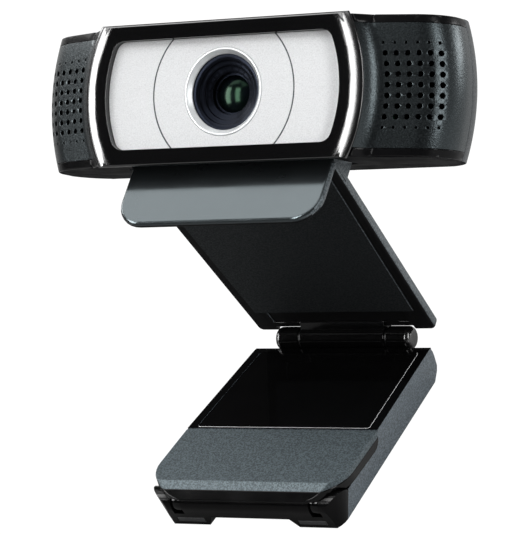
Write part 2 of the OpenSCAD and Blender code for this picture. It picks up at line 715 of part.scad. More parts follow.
module lower_arm_shell() color("#303338") difference() {
    union() {
        difference() {
            intersection() {
                tray_block(0, -nose_y, fold_y + rear_reach + 1, 0, arm_h, nose_corner_r);
                along_x(big) arm_side_profile();
            }
            // under the panel
            tray_block(rim + 1, -seam_y + tray_wall, top_back - 2 * tray_wall, tray_wall, arm_h - panel_t + eps, 1);
            tray_block(rim, -seam_y + 0.3, top_back - 0.5, arm_h - panel_t - fit, arm_h + 1, 0.6);
            // under the foot
            tray_block(rim + 1, foot_y + nose_bar_r + tray_wall, -seam_y - foot_t, tray_wall, arm_h, 1);
        }
        // boss of the tripod socket
        cylinder(r = insert_r + 1.5, h = arm_h - panel_t - 2 * fit);
        at_screws() cylinder(r = post_r, h = arm_h - panel_t - 2 * fit);
        // end knuckles
        both_sides() translate([barrel_hinge_l / 2 - end_knuckle_l, 0, 0]) {
            translate([0, fold_y, fold_z]) rotate([0, 90, 0]) knuckle_body();
            translate([end_knuckle_l / 2, 0, 0]) along_x(end_knuckle_l - 1) polygon([
                [top_back - 0.2, arm_h - 6], [top_back - 0.2, arm_h - 0.4], [fold_y - 1.6, fold_z - 1.2],
                [fold_y, fold_z - 1], [fold_y - 0.6, arm_h - 3.4], [fold_y - 1.6, arm_h - 6],
            ]);
        }
    }
    translate([0, fold_y, fold_z]) rod_x(fold_pin_r + press_fit, barrel_hinge_l - 1);
    translate([0, 0, -1]) cylinder(r = insert_r + press_fit, h = insert_l + 1);
    at_screws() {
        translate([0, 0, head_seat - eps]) cylinder(r = screw_r + press_fit, h = arm_h);
        translate([0, 0, -eps]) cylinder(r = screw_head_r + 2 * fit, h = head_seat + 3 * eps);
    }
    // foot pin and the slots for the foot's lugs
    translate([0, foot_y, foot_pin_z]) rod_x(foot_pin_r + press_fit, 2 * (lug_x + lug_t + 1.8));
    both_sides() translate([lug_x - play, foot_y, foot_pin_z]) {
        translate([lug_t / 2 + play, 0, 0]) rod_x(lug_r + play, lug_t + 2 * play);
        translate([0, -5, -lug_r + 0.2]) cube([lug_t + 2 * play, 5 + lug_r, 10]);
    }
    // notch between the front feet
    translate([0, notch_l - nose_y, 0]) rotate([90, 0, 0]) linear_extrude(2 * notch_l)
        polygon([[-notch_w / 2 - notch_flare, -eps], [notch_w / 2 + notch_flare, -eps], [notch_w / 2, notch_d], [-notch_w / 2, notch_d]]);
    bumper_seats(0);
}

module knuckle_body() rotate_extrude() {
    square([knuckle_r, end_knuckle_l - 1.2]);
    square([knuckle_r - 1.2, end_knuckle_l]);
    translate([knuckle_r - 1.2, end_knuckle_l - 1.2]) circle(1.2);
}

// Seats of the rubber inserts in the front faces of the feet
module bumper_seats(o) both_sides()
    translate([bumper_x, heel_y, 0]) rotate([chin_a - 90, 0, 0])
        translate([o, o - 0.1, bumper_z + o]) cube([bumper_w - 2 * o, bumper_t - o, bumper_h - 2 * o]);

module arm_panel() color("#060607")
    tray_block(rim + fit, -seam_y + 0.3 + fit, top_back - 0.5 - fit, arm_h - panel_t, arm_h, 0.6);

module fold_pin() color("#8d9094") translate([0, fold_y, fold_z]) rod_x(fold_pin_r, barrel_hinge_l - 1.4);

module fold_washers() color("#a7a9ac") translate([0, fold_y, fold_z]) both_sides()
    translate([centre_knuckle_l / 2 + fit + washer_t / 2, 0, 0])
        ring_x(knuckle_r - 0.3, fold_pin_r + pin_fit, washer_t);

module thread_insert() color("#b58a3a") difference() {
    cylinder(r = insert_r, h = insert_l);
    translate([0, 0, -1]) cylinder(r = socket_r, h = insert_l + 2);
}

module at_screws() for (s = [-1, 1], y = [screw_inset - seam_y, top_back - screw_inset])
    translate([s * screw_x, y, 0]) children();

module arm_screws() color("#9a9da1") at_screws() {
    translate([0, 0, head_seat]) cylinder(r = screw_r, h = arm_h - panel_t - head_seat - 4 * fit);
    difference() {
        translate([0, 0, head_seat - screw_head_t]) cylinder(r = screw_head_r, h = screw_head_t);
        translate([0, 0, head_seat - screw_head_t]) for (a = [0, 90]) rotate(a)
            cube([1.5 * screw_head_r, screw_head_r / 3, screw_head_t], center = true);
    }
}

module foot_pin() color("#8d9094")
    translate([0, foot_y, foot_pin_z]) rod_x(foot_pin_r, 2 * (lug_x + lug_t + 1.6));

module foot_bumpers() color("#3a3d42") bumper_seats(fit);

// ---- Swinging foot ----

// Side section of the foot, as [y, z]
module foot_side_profile() difference() {
    back = -seam_y - 0.25;
    low = foot_low;
    polygon(concat(
        [[-nose_y, low + 0.1], [-nose_y + 0.1, arm_h - foot_bevel], [-nose_y + 0.1 + foot_bevel, arm_h]],
        [[back, arm_h]],
        arc([back - foot_round, arm_h - 0.2], foot_round, 0, -90, 10)
    ));
    translate([foot_y, foot_pin_z]) circle(nose_bar_r + bar_gap);
}

module foot_body() intersection() {
    along_x(big) foot_side_profile();
    foot_plan();
}

module foot_plan() hull() for (s = [-1, 1]) {
    translate([s * (foot_w / 2 - foot_corner_r), -nose_y + foot_corner_r, 0]) cylinder(r = foot_corner_r, h = 2 * arm_h);
    translate([s * (foot_w / 2 - 0.5), -seam_y - 0.75, 0]) cylinder(r = 0.5, h = 2 * arm_h);
}

module foot_carrier() color("#3b3f45") difference() {
    union() {
        difference() {
            foot_body();
            translate([-big / 2, -big / 2, arm_h - foot_pad_t]) cube([big, big, big]);
        }
        both_sides() translate([lug_x, foot_y, foot_pin_z]) {
            translate([lug_t / 2, 0, 0]) rod_x(lug_r, lug_t);
            translate([0, -1.5, 0]) cube([lug_t, 3, nose_bar_r + bar_gap + 0.3]);
        }
    }
    translate([0, foot_y, foot_pin_z]) rod_x(foot_pin_r + pin_fit, 2 * (lug_x + lug_t) + 1);
}

module foot_pad() color("#54585e") intersection() {
    foot_body();
    translate([-big / 2, -big / 2, arm_h - foot_pad_t]) cube([big, big, big]);
}

front_frame();
rear_cover();
bezel();
face_plate();
lens_ring();
lens_hood();
left_grille();
right_grille();
left_microphone();
right_microphone();
mic_gaskets();
lens_holder();
lens_barrel();
front_lens();
rear_lens();
focus_coil();
infrared_filter();
image_sensor();
main_board();
board_chips();
cable_socket();
housing_screws();
cable_gland();
tilt_pin();
tilt_washers();
upper_arm();
upper_pad();
lower_arm_shell();
arm_panel();
fold_pin();
fold_washers();
thread_insert();
arm_screws();
foot_pin();
foot_bumpers();
foot_carrier();
foot_pad();
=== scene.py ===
"""Webcam on a folding monitor clip, dressed around its construction model and set on a small studio stage.

Run as a script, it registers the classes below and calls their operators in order.
Lengths are metres. The construction model stands on its lower arm, +Z up, and the lens looks towards -Y and up.
"""
import json
from math import atan2, cos, pi, radians, sin

import bmesh
import bpy
from bpy.props import FloatProperty, FloatVectorProperty, PointerProperty
from mathutils import Matrix, Vector


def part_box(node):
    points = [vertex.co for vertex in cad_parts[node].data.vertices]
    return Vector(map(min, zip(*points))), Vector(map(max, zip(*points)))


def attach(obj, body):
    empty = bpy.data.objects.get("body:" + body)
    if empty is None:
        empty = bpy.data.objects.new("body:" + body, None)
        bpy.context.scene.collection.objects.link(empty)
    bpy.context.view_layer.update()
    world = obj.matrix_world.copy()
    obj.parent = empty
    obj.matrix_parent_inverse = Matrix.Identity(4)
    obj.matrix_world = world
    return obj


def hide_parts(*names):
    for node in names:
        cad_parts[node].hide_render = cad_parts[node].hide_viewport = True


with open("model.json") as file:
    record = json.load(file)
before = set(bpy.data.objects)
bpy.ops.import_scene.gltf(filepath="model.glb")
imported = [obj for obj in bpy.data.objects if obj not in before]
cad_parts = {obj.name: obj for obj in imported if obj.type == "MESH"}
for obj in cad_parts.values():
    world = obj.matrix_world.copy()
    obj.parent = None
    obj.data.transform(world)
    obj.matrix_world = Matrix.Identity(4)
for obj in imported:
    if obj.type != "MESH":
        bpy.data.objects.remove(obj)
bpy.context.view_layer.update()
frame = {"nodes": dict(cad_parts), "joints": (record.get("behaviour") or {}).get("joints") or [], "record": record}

bl_info = {
    "name": "Webcam Dresser",
    "version": (1, 0, 0),
    "blender": (4, 5, 0),
    "location": "View3D > Sidebar > Webcam",
    "description": "Finishes a webcam on a monitor clip and sets up its studio stage",
    "category": "Object",
}

MM = 0.001
COOL = (0.84, 1.0, 1.06)     # tint of the highlights on the grey plastics
JOINTS = {joint["name"]: joint for joint in frame["joints"]}
BODY_OF = {node: body for body, nodes in frame["record"]["behaviour"]["bodies"].items() for node in nodes}


# ---- Places taken from the construction model ----

def head_matrix(props):
    """Frame of the camera head: origin where the lens axis meets the face plate, +Y backwards along that axis."""
    forward = Vector(JOINTS["focus"]["axis"])
    turn = Matrix.Rotation(atan2(forward.z, -forward.y), 4, "X").inverted()
    tilt = Vector(JOINTS["head_tilt"]["pos_m"])
    return Matrix.Translation(tilt) @ turn @ Matrix.Translation((0, -props.tilt_back, props.tilt_drop))


def from_fold(centre):
    """Distance of a point from the axis of the fold hinge."""
    return (centre.yz - Vector(JOINTS["fold"]["pos_m"]).yz).length


# ---- Nodes ----

def add_node(tree, kind, inputs=(), **settings):
    """Adds a node. The inputs pair a socket's name or number with a value or with another node's output."""
    node = tree.nodes.new(kind)
    for key, value in settings.items():
        setattr(node, key, value)
    for key, value in dict(inputs).items():
        if isinstance(value, bpy.types.NodeSocket):
            tree.links.new(value, node.inputs[key])
        else:
            node.inputs[key].default_value = value
    return node


def maths(tree, operation, *values):
    """Output of a Math node on numbers and other outputs."""
    return add_node(tree, "ShaderNodeMath", enumerate(values), operation=operation).outputs[0]


def remap(tree, value, start, stop, low=0.0, high=1.0, interpolation="LINEAR"):
    """Turns start to stop of a value into low to high."""
    return add_node(tree, "ShaderNodeMapRange", {
        "Value": value, "From Min": start, "From Max": stop, "To Min": low, "To Max": high,
    }, interpolation_type=interpolation).outputs["Result"]


class Finish:
    """A procedural material under construction. Textures are laid out in metres in the object's own space."""

    def __init__(self, name, roughness=0.4, metallic=0.0, specular=0.5, tint=(1.0, 1.0, 1.0)):
        self.material = bpy.data.materials.new(name)
        self.material.use_nodes = True
        self.tree = self.material.node_tree
        self.shader = next(n for n in self.tree.nodes if n.type == "BSDF_PRINCIPLED")
        self.place = add_node(self.tree, "ShaderNodeTexCoord").outputs["Object"]
        for socket, value in (("Roughness", roughness), ("Metallic", metallic),
                              ("Specular IOR Level", specular), ("Specular Tint", (*tint, 1.0))):
            self.shader.inputs[socket].default_value = value

    def link(self, socket, value):
        self.tree.links.new(value, self.shader.inputs[socket])

    def noise(self, size, detail=2.0):
        """Noise whose features are about size across."""
        return add_node(self.tree, "ShaderNodeTexNoise", {
            "Vector": self.place, "Scale": 1 / size, "Detail": detail}).outputs["Fac"]

    def radius(self, matrix):
        """Distance from the Y axis of the frame that matrix places."""
        local = add_node(self.tree, "ShaderNodeMapping", {
            "Vector": self.place, "Location": matrix.translation, "Rotation": matrix.to_euler(),
        }, vector_type="TEXTURE")
        flat = add_node(self.tree, "ShaderNodeVectorMath", {
            0: local.outputs["Vector"], 1: (1, 0, 1)}, operation="MULTIPLY")
        length = add_node(self.tree, "ShaderNodeVectorMath", {0: flat.outputs["Vector"]}, operation="LENGTH")
        return length.outputs["Value"]

    def tones(self, value, *stops):
        """Base colour along a texture's value, as (position, colour) pairs."""
        ramp = add_node(self.tree, "ShaderNodeValToRGB", {"Fac": value})
        elements = ramp.color_ramp.elements
        while len(elements) < len(stops):
            elements.new(0.5)
        for element, (position, colour) in zip(elements, stops):
            element.position = position
            element.color = (*colour[:3], 1.0)
        self.link("Base Color", ramp.outputs["Color"])

    def gloss(self, value, low, high, start=0.3, stop=0.7):
        """Roughness that goes from low to high with a value."""
        self.link("Roughness", remap(self.tree, value, start, stop, low, high))

    def relief(self, value, depth):
        """Surface relief that is about depth high."""
        bump = add_node(self.tree, "ShaderNodeBump", {"Height": value, "Strength": 1.0, "Distance": depth})
        self.link("Normal", bump.outputs["Normal"])


# ---- Kinds of finish ----

def shade(colour, factor):
    return tuple(channel * factor for channel in colour[:3])


def moulded_plastic(name, colour, rough, specular, grain=0.0, size=0.25 * MM, spread=0.12, tint=(1, 1, 1)):
    """Moulded plastic: slight drift of colour and gloss, and a grain as deep as grain."""
    finish = Finish(name, specular=specular, tint=tint)
    drift = finish.noise(9 * MM, 3.0)
    finish.tones(drift, (0.3, shade(colour, 1 - spread)), (0.7, shade(colour, 1 + spread)))
    finish.gloss(finish.noise(5 * MM, 4.0), rough * 0.85, rough * 1.15)
    finish.relief(finish.noise(size), grain)
    return finish.material


def grain_and_glint_plastic(name, colour, rough, specular, grain, size=0.32 * MM, dark=0.45, light=1.7):
    """Textured plastic with a grain relief, whose specks are painted from dark to light times its colour: partly
    the grain's own tone and partly painted glints where the grain would catch the light.
    """
    finish = Finish(name, specular=specular, tint=COOL)
    grain_and_glint = finish.noise(size, 3.0)
    finish.tones(grain_and_glint, (0.40, shade(colour, dark)), (0.5, colour), (0.60, shade(colour, light)))
    finish.gloss(grain_and_glint, rough * 1.15, rough * 0.85)
    finish.relief(grain_and_glint, grain)
    return finish.material


def turned_metal(name, colour, rough, grain=0.004 * MM, metallic=1.0):
    """Machined or plated metal with a fine grain."""
    finish = Finish(name, metallic=metallic)
    fine = finish.noise(0.12 * MM, 3.0)
    finish.tones(finish.noise(1.5 * MM, 3.0), (0.3, shade(colour, 0.9)), (0.7, shade(colour, 1.06)))
    finish.gloss(fine, rough * 0.7, rough * 1.3)
    finish.relief(fine, grain)
    return finish.material


# ---- Meshes ----

def new_piece(name, body):
    """Turns a bmesh into an object of the scene."""
    mesh = bpy.data.meshes.new(name)
    body.to_mesh(mesh)
    body.free()
    piece = bpy.data.objects.new(name, mesh)
    bpy.context.scene.collection.objects.link(piece)
    return piece


def soften(piece, width, angle, clamp):
    """Rounds the edges of a piece that are sharper than angle."""
    bevel = piece.modifiers.new("Edges", "BEVEL")
    bevel.width = width
    bevel.segments = 2
    bevel.limit_method = "ANGLE"
    bevel.angle_limit = angle
    bevel.use_clamp_overlap = clamp
    bevel.miter_outer = "MITER_ARC"
    graph = bpy.context.evaluated_depsgraph_get()
    mesh = bpy.data.meshes.new_from_object(piece.evaluated_get(graph))
    piece.modifiers.clear()
    old, piece.data = piece.data, mesh
    bpy.data.meshes.remove(old)


def smooth(piece, angle):
    """Smooth shading, with edges sharper than angle kept crisp and large faces kept flat."""
    piece.data.shade_smooth()
    piece.data.set_sharp_from_angle(angle=angle)
    weighted = piece.modifiers.new("Shading", "WEIGHTED_NORMAL")
    weighted.keep_sharp = True


def skin(node, name, material, width=0.12 * MM, angle=radians(28), clamp=False):
    """Copies a construction node into a new piece with rounded edges, which stands for that node."""
    body = bmesh.new()
    body.from_mesh(frame["nodes"][node].data)
    bmesh.ops.remove_doubles(body, verts=body.verts, dist=0.5e-6)
    bmesh.ops.dissolve_limit(body, angle_limit=radians(0.4), verts=body.verts, edges=body.edges)
    piece = new_piece(name, body)
    soften(piece, width, angle, clamp)
    smooth(piece, angle)
    piece.data.materials.clear()
    piece.data.materials.append(material)
    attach(piece, BODY_OF[node])
    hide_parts(node)
    return piece


def paint(piece, material, test):
    """Gives another finish to the faces whose normal and centre pass the test."""
    piece.data.materials.append(material)
    slot = len(piece.data.materials) - 1
    for face in piece.data.polygons:
        if test(face.normal, face.center):
            face.material_index = slot


def finish_node(node, material):
    """Gives a construction node that stays in sight its finish."""
    for slot in frame["nodes"][node].material_slots:
        slot.link = "OBJECT"
        slot.material = material


# ---- Settings ----

class StageSettings(bpy.types.PropertyGroup):
    """Camera, lamps and floor."""

    aim: FloatVectorProperty(
        name="Aim", description="Point that the camera turns about", subtype="XYZ", unit="LENGTH",
        default=(0.00674, -0.01153, 0.04517))
    azimuth: FloatProperty(
        name="Azimuth", description="Camera's turn to the right of the front", subtype="ANGLE",
        default=radians(33.02))
    elevation: FloatProperty(
        name="Elevation", description="Camera's height above the horizon", subtype="ANGLE",
        default=radians(25.70))
    roll: FloatProperty(
        name="Roll", description="Camera's lean", subtype="ANGLE", default=radians(-16.85))
    distance: FloatProperty(
        name="Distance", description="From the aim to the camera", unit="LENGTH", default=0.567)
    focal: FloatProperty(
        name="Focal length", description="Of the camera's lens, in millimetres", default=205.64)
    room_light: FloatProperty(
        name="Room light", description="Strength of the even light from all round", min=0.0, default=0.3)
    front_gloss: FloatProperty(
        name="Front gloss", description="Brightness that gloss sees in front of the webcam", min=0.0,
        default=0.02)
    floor_glow: FloatProperty(
        name="Floor glow", description="Brightness of the floor to the camera", min=0.0, default=1.14)
    floor_share: FloatProperty(
        name="Floor share", description="Share of the floor's glow; the rest of it takes the shadow",
        min=0.0, max=1.0, default=0.9)


class HeadSettings(bpy.types.PropertyGroup):
    """Sizes and colours of the camera head."""

    tilt_back: FloatProperty(
        name="Tilt axis depth", description="Tilt axis behind the face plate", unit="LENGTH",
        default=8.9 * MM)
    tilt_drop: FloatProperty(
        name="Tilt axis drop", description="Tilt axis below the lens axis", unit="LENGTH",
        default=10.3 * MM)
    gloss_black: FloatVectorProperty(
        name="Gloss black", description="Colour of the bezel and front strips", subtype="COLOR",
        default=(0.0045, 0.0045, 0.005))
    grille: FloatVectorProperty(
        name="Grille", description="Colour of the perforated wings", subtype="COLOR",
        default=(0.0045, 0.0051, 0.0055))
    engraving: FloatProperty(
        name="Engraved circle", description="Radius of the line engraved in the face plate",
        unit="LENGTH", default=15.06 * MM)
    engraving_half: FloatProperty(
        name="Engraved half width", description="Half the width of that line", unit="LENGTH",
        default=0.14 * MM)
    flat_r: FloatProperty(
        name="Bezel's flat", description="Radius where the bezel's flat face ends", unit="LENGTH",
        default=26.8 * MM)
    rolled_r: FloatProperty(
        name="Bezel's roll", description="Radius where the bezel's rolled rim has its softer gloss",
        unit="LENGTH", default=28.3 * MM)
    cover: FloatVectorProperty(
        name="Rear cover", description="Colour of the rear cover", subtype="COLOR",
        default=(0.018, 0.019, 0.021))
    plate: FloatVectorProperty(
        name="Face plate", description="Colour of the face plate", subtype="COLOR",
        default=(0.83, 0.84, 0.85))


class ArmSettings(bpy.types.PropertyGroup):
    """Sizes and colours of the clip's arms and foot."""

    satin: FloatVectorProperty(
        name="Satin grey", description="Colour of the upper arm", subtype="COLOR",
        default=(0.020, 0.023, 0.0245))
    edge: FloatVectorProperty(
        name="Arm sides", description="Colour of the upper arm's sides", subtype="COLOR",
        default=(0.070, 0.080, 0.087))
    shell: FloatVectorProperty(
        name="Shell", description="Colour of the lower arm's shell", subtype="COLOR",
        default=(0.120, 0.145, 0.165))
    panel: FloatVectorProperty(
        name="Panel", description="Colour of the lower arm's gloss panel", subtype="COLOR",
        default=(0.003, 0.003, 0.0032))
    rubber: FloatVectorProperty(
        name="Rubber", description="Colour of the upper arm's pad", subtype="COLOR",
        default=(0.008, 0.008, 0.0085))
    foot: FloatVectorProperty(
        name="Foot pad", description="Colour of the foot's pad", subtype="COLOR",
        default=(0.070, 0.087, 0.096))
    pitch: FloatProperty(
        name="Thread pitch", description="Pitch of the tripod socket's thread", unit="LENGTH",
        default=1.27 * MM)
    knuckle_r: FloatProperty(
        name="Middle knuckle", description="Reach of the gloss black round the upper arm's knuckle",
        unit="LENGTH", default=4.3 * MM)
    lug_r: FloatProperty(
        name="End knuckles", description="Reach of the gloss black round the lower arm's knuckles",
        unit="LENGTH", default=4.6 * MM)
    lug_x: FloatProperty(
        name="Knuckle ends", description="Distance from the middle where the end knuckles begin",
        unit="LENGTH", default=11 * MM)
    # Below this height the upper arm's faces that look forwards are painted dark: painted shade.
    painted_shade_z: FloatProperty(
        name="Arm's underside", description="Height below which the upper arm's front is black",
        unit="LENGTH", default=30 * MM)
    nose_l: FloatProperty(
        name="Nose", description="Length of the lower arm's black nose", unit="LENGTH", default=5 * MM)
    nose_slope_l: FloatProperty(
        name="Nose slopes", description="Length over which faces that look forwards are black too",
        unit="LENGTH", default=14 * MM)


# ---- Operators ----

class WEBCAM_OT_housing(bpy.types.Operator):
    """Front frame, rear cover and cable gland of the camera head"""
    bl_idname = "webcam.housing"
    bl_label = "Housing"

    def execute(self, context):
        head = context.scene.webcam_head
        black = moulded_plastic(
            "Front_Frame_Black", head.gloss_black, rough=0.22, specular=0.1, grain=0.002 * MM, size=0.6 * MM)
        matt = moulded_plastic(
            "Underside_Matt", shade(head.gloss_black, 1.4), rough=0.6, specular=0.02, grain=0.01 * MM)
        cover = grain_and_glint_plastic("Rear_Cover_Satin", head.cover, rough=0.42, specular=0.35, grain=0.01 * MM)
        gland = moulded_plastic(
            "Gland_Rubber", (0.012, 0.012, 0.012), rough=0.55, specular=0.4, grain=0.01 * MM)
        turn = head_matrix(head).inverted().to_3x3()

        def underside(normal, centre):
            return (turn @ normal).z < -0.985

        paint(skin("front_frame", "Front_Frame", black, width=0.06 * MM), matt, underside)
        paint(skin("rear_cover", "Rear_Cover", cover, width=0.1 * MM), matt, underside)
        skin("cable_gland", "Cable_Gland", gland)
        return {"FINISHED"}


class WEBCAM_OT_face(bpy.types.Operator):
    """Bezel and face plate"""
    bl_idname = "webcam.face"
    bl_label = "Face"

    def execute(self, context):
        head = context.scene.webcam_head
        home = head_matrix(head)
        skin("bezel", "Bezel", self.bezel(head, home), width=0.04 * MM, angle=radians(32))
        skin("face_plate", "Face_Plate", self.plate(head, home), width=0.06 * MM)
        return {"FINISHED"}

    def bezel(self, head, home):
        """Gloss black whose highlights are softer on the rolled rim."""
        black = Finish("Bezel_Gloss", specular=1.0)
        colour = head.gloss_black
        black.tones(black.noise(9 * MM), (0.3, shade(colour, 0.6)), (0.7, shade(colour, 0.8)))
        black.gloss(black.radius(home), 0.05, 0.2, head.flat_r, head.rolled_r)
        black.relief(black.noise(0.8 * MM), 0.0005 * MM)
        return black.material

    def plate(self, head, home):
        """Satin silver with an engraved circle about the lens."""
        silver = Finish("Face_Plate_Silver", specular=0.2)
        fine = silver.noise(0.2 * MM, 3.0)
        silver.tones(fine, (0.3, shade(head.plate, 0.88)), (0.5, head.plate), (0.7, shade(head.plate, 1.1)))
        line = maths(silver.tree, "COMPARE", silver.radius(home), head.engraving, head.engraving_half)
        plain = silver.shader.inputs["Base Color"].links[0].from_socket
        engraved = add_node(silver.tree, "ShaderNodeMix", {
            "Factor": line, 6: plain, 7: (0.07, 0.08, 0.09, 1)}, data_type="RGBA")
        silver.link("Base Color", engraved.outputs[2])
        silver.gloss(fine, 0.38, 0.55)
        silver.relief(fine, 0.006 * MM)
        return silver.material


class WEBCAM_OT_lens(bpy.types.Operator):
    """Trim ring, stepped hood, barrel and glass of the lens"""
    bl_idname = "webcam.lens"
    bl_label = "Lens"

    def execute(self, context):
        ring = turned_metal("Ring_Silver", (0.66, 0.68, 0.69), rough=0.38, grain=0.003 * MM, metallic=0.25)
        hood = moulded_plastic(
            "Hood_Black", (0.0016, 0.0016, 0.002), rough=0.3, specular=0.09, grain=0.003 * MM,
            tint=(0.7, 0.85, 1.3))
        glass = Finish("Lens_Glass", roughness=0.16, specular=0.14, tint=(0.42, 0.9, 0.55))
        glass.tones(glass.noise(3 * MM), (0.3, (0.002, 0.005, 0.005)), (0.7, (0.005, 0.006, 0.010)))
        skin("lens_ring", "Lens_Ring", ring, width=0.05 * MM)
        skin("lens_hood", "Lens_Hood", hood, width=0.06 * MM)
        skin("lens_barrel", "Lens_Barrel", hood, width=0.08 * MM)
        skin("front_lens", "Front_Lens", glass.material, width=0.05 * MM)
        return {"FINISHED"}


class WEBCAM_OT_wings(bpy.types.Operator):
    """Perforated grilles with the microphones behind them"""
    bl_idname = "webcam.wings"
    bl_label = "Wings"

    def execute(self, context):
        # The grille's brightest specks, at 3.2 times its colour, are painted glints.
        charcoal = grain_and_glint_plastic(
            "Grille_Charcoal", context.scene.webcam_head.grille, rough=0.28, specular=0.45, grain=0.03 * MM,
            size=0.34 * MM, dark=0.25, light=3.2)
        capsule = moulded_plastic(
            "Capsule_Felt", (0.003, 0.003, 0.003), rough=0.8, specular=0.05, grain=0.02 * MM)
        gasket = moulded_plastic("Gasket_Rubber", (0.01, 0.01, 0.01), rough=0.6, specular=0.4, grain=0.01 * MM)
        for side in ("left", "right"):
            skin(f"{side}_grille", f"{side.title()}_Grille", charcoal, width=0.05 * MM)
            finish_node(f"{side}_microphone", capsule)
        finish_node("mic_gaskets", gasket)
        return {"FINISHED"}


class WEBCAM_OT_works(bpy.types.Operator):
    """Camera module, board and fasteners inside the head, and the pins and screws of the clip"""
    bl_idname = "webcam.works"
    bl_label = "Inner works"

    def execute(self, context):
        # node, finish, colour, roughness, specular, grain
        for node, name, colour, rough, specular, grain in (
                ("lens_holder", "Holder_Black", (0.015, 0.015, 0.015), 0.5, 0.4, 0.01 * MM),
                ("rear_lens", "Rear_Lens_Glass", (0.05, 0.09, 0.08), 0.05, 0.8, 0.0),
                ("infrared_filter", "Filter_Glass", (0.25, 0.06, 0.09), 0.08, 0.8, 0.0),
                ("image_sensor", "Sensor_Die", (0.05, 0.07, 0.05), 0.2, 0.6, 0.0),
                ("board_chips", "Chip_Resin", (0.02, 0.02, 0.02), 0.5, 0.4, 0.01 * MM),
                ("cable_socket", "Socket_Ivory", (0.62, 0.58, 0.46), 0.45, 0.4, 0.01 * MM),
                ("fold_washers", "Washer_Black", (0.004, 0.004, 0.0045), 0.3, 0.2, 0.0)):
            finish_node(node, moulded_plastic(name, colour, rough, specular, grain))
        finish_node("main_board", moulded_plastic(
            "Board_Mask", (0.02, 0.12, 0.05), rough=0.35, specular=0.5, grain=0.01 * MM, size=0.8 * MM))
        finish_node("focus_coil", turned_metal("Coil_Copper", (0.62, 0.30, 0.14), rough=0.35))
        steel = turned_metal("Plated_Steel", (0.55, 0.56, 0.58), rough=0.3)
        for node in ("housing_screws", "tilt_pin", "tilt_washers", "fold_pin", "foot_pin"):
            finish_node(node, steel)
        skin("arm_screws", "Arm_Screws", steel, width=0.08 * MM)
        return {"FINISHED"}


class WEBCAM_OT_upper_arm(bpy.types.Operator):
    """Upper arm with its lip and rubber pad"""
    bl_idname = "webcam.upper_arm"
    bl_label = "Upper arm"

    def execute(self, context):
        arms = context.scene.webcam_arms
        satin = moulded_plastic(
            "Upper_Arm_Satin", arms.satin, rough=0.17, specular=0.6, grain=0.002 * MM, size=0.3 * MM, tint=COOL)
        black = moulded_plastic(
            "Arm_Underside_Painted_Shade", arms.rubber, rough=0.5, specular=0.04, grain=0.003 * MM)
        gloss = moulded_plastic(
            "Knuckle_Gloss", shade(arms.rubber, 0.3), rough=0.08, specular=0.3, grain=0.0005 * MM,
            size=0.8 * MM)
        edge = grain_and_glint_plastic("Upper_Arm_Edge", arms.edge, rough=0.4, specular=0.45, grain=0.015 * MM)
        rubber = grain_and_glint_plastic("Upper_Pad_Rubber", arms.rubber, rough=0.62, specular=0.2, grain=0.02 * MM)
        arm = skin("upper_arm", "Upper_Arm", satin, width=0.1 * MM)
        paint(arm, edge, lambda normal, centre: abs(normal.x) > 0.6)
        # Faces that look down, and low faces that look forwards, are painted near-black matt: painted shade under
        # the arm.
        paint(arm, black, lambda normal, centre: (
            normal.z < -0.3 or (normal.y < -0.8 and centre.z < arms.painted_shade_z)))
        paint(arm, gloss, lambda normal, centre: from_fold(centre) < arms.knuckle_r)
        pad = skin("upper_pad", "Upper_Pad", rubber)
        # The pad's bevels that face right get the arm sides' lighter finish: a painted highlight along the pad's
        # right edge.
        paint(pad, edge, lambda normal, centre: 0.15 < normal.x < 0.95)
        return {"FINISHED"}


